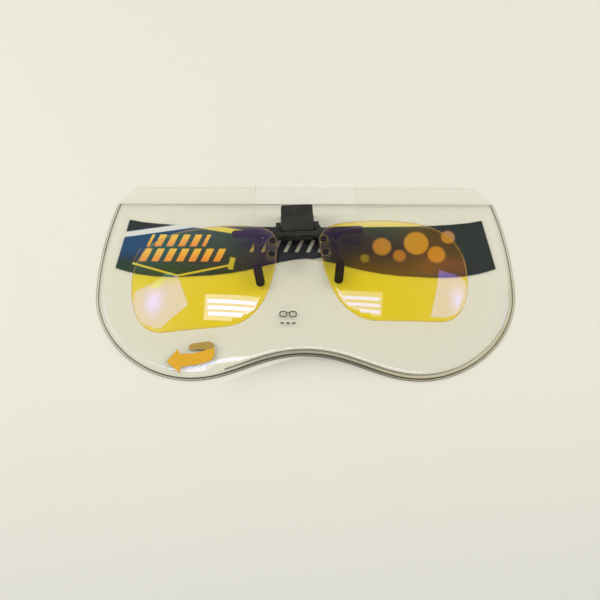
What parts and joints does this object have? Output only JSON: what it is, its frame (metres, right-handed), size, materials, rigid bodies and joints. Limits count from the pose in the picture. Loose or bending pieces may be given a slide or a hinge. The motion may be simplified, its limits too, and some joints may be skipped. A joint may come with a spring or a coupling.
{
  "type": "clip-on night driving glasses",
  "caption": "Flip-up yellow clip-on night driving glasses with a sprung black clip and sleeved legs, lying on their clear goggle-shaped pouch.",
  "frame": {"origin": "on the table under the middle of the glasses' nose gap, on the underside of the pouch", "axes": "+X across the face to the right in the picture, +Y up the face to the thumb tab, +Z out of the face, up off the table"},
  "size_m": [0.1675, 0.0882, 0.0148],
  "materials": {
    "clip_black": "satin moulded",
    "sleeve_rubber": "smooth",
    "steel": "plain",
    "lens_yellow": "polished, coated",
    "clear_bush": "clear",
    "clear_film": "clear film",
    "band_print": "glossy print"
  },
  "bodies": {
    "pouch": {"pouch_back_sheet": "clear_film", "pouch_front_sheet": "clear_film", "closure_flap": "clear_film", "insert_band": "band_print"},
    "rear_clamp": {"rear_clamp": "clip_black", "rear_leg_left": "clip_black", "rear_leg_right": "clip_black", "leg_sleeve_left": "sleeve_rubber", "leg_sleeve_right": "sleeve_rubber", "pivot_pin": "steel", "clamp_spring": "steel"},
    "front_bridge": {"front_bridge": "clip_black", "front_arm_left": "clip_black", "front_arm_right": "clip_black", "arm_sleeve_left": "sleeve_rubber", "arm_sleeve_right": "sleeve_rubber", "friction_leaf": "steel"},
    "lens_yoke": {"lens_yoke": "clip_black", "flip_pin": "steel", "lens_left": "lens_yellow", "lens_right": "lens_yellow", "lens_screws": "steel", "lens_bushes": "clear_bush", "back_washers": "clear_bush", "lens_nuts": "steel"}
  },
  "joints": [
    {"name": "lift_off", "type": "slide", "parent": "pouch", "child": "rear_clamp", "axis": [0, 0, 1], "range_m": [0, 0.05]},
    {"name": "squeeze", "type": "hinge", "parent": "rear_clamp", "child": "front_bridge", "pos_m": [0, 0.0258, 0.0065], "axis": [-1, 0, 0], "range_deg": [0, 20], "stiffness_Nm_per_rad": 0.05, "springref_deg": -34.38, "deforming": ["clamp_spring"]},
    {"name": "flip", "type": "hinge", "parent": "front_bridge", "child": "lens_yoke", "pos_m": [0, 0.028, 0.0096], "axis": [-1, 0, 0], "range_deg": [0, 100]}
  ]
}
